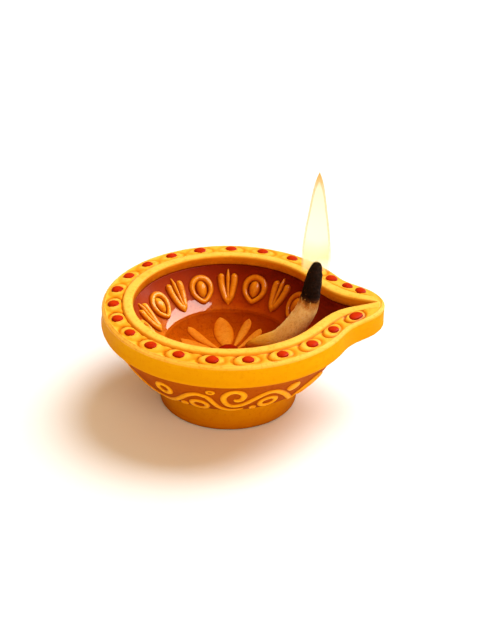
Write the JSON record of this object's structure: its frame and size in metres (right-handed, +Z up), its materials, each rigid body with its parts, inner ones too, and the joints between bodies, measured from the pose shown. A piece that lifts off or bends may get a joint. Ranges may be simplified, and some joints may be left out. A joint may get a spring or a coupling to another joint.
{
  "type": "oil lamp",
  "caption": "Small spouted clay oil lamp on a round foot, with a thick decorated rim, relief inside the bowl, a cotton wick standing in the spout's throat, oil and a flame.",
  "frame": {"origin": "centre of the foot's underside, on the surface the lamp stands on", "axes": "+X towards the spout, +Z up, +Y to the left of someone looking along the spout"},
  "size_m": [0.0897, 0.083, 0.0788],
  "materials": {
    "paint_yellow": "satin",
    "foot_paint": "satin",
    "clay_brown": "gloss",
    "sprig_gold": "gloss",
    "bead_red": "satin",
    "petal_orange": "satin",
    "oil_amber": "gloss",
    "cotton": "matte",
    "char_black": "matte",
    "flame_glow": "matte"
  },
  "bodies": {
    "lamp": {"foot": "foot_paint", "bowl": "clay_brown", "rim_collar": "paint_yellow", "frieze_vine": "paint_yellow", "rim_bead_01": "bead_red", "rim_bead_02": "bead_red", "rim_bead_03": "bead_red", "rim_bead_04": "bead_red", "rim_bead_05": "bead_red", "rim_bead_06": "bead_red", "rim_bead_07": "bead_red", "rim_bead_08": "bead_red", "rim_bead_09": "bead_red", "rim_bead_10": "bead_red", "rim_bead_11": "bead_red", "rim_bead_12": "bead_red", "rim_bead_13": "bead_red", "rim_bead_14": "bead_red", "rim_bead_15": "bead_red", "rim_bead_16": "bead_red", "rim_bead_17": "bead_red", "rim_bead_18": "bead_red", "rim_bead_19": "bead_red", "rim_bead_20": "bead_red", "rim_bead_21": "bead_red", "rim_bead_22": "bead_red", "rim_bead_23": "bead_red", "sprig_ring_1": "sprig_gold", "sprig_ring_2": "sprig_gold", "sprig_ring_3": "sprig_gold", "sprig_ring_4": "sprig_gold", "sprig_ring_5": "sprig_gold", "sprig_ring_6": "sprig_gold", "sprig_ring_7": "sprig_gold", "sprig_ring_8": "sprig_gold", "sprig_tulip_1": "sprig_gold", "sprig_tulip_2": "sprig_gold", "sprig_tulip_3": "sprig_gold", "sprig_tulip_4": "sprig_gold", "sprig_tulip_5": "sprig_gold", "sprig_tulip_6": "sprig_gold", "sprig_tulip_7": "sprig_gold", "sprig_tulip_8": "sprig_gold", "floor_petals": "petal_orange", "flower_centre": "bead_red", "lamp_oil": "oil_amber"},
    "wick": {"cotton_wick": "cotton", "wick_char_tip": "char_black", "flame": "flame_glow"}
  },
  "joints": [
    {"name": "wick_lift", "type": "slide", "parent": "lamp", "child": "wick", "axis": [0, 0, 1], "range_m": [0, 0.05]}
  ]
}
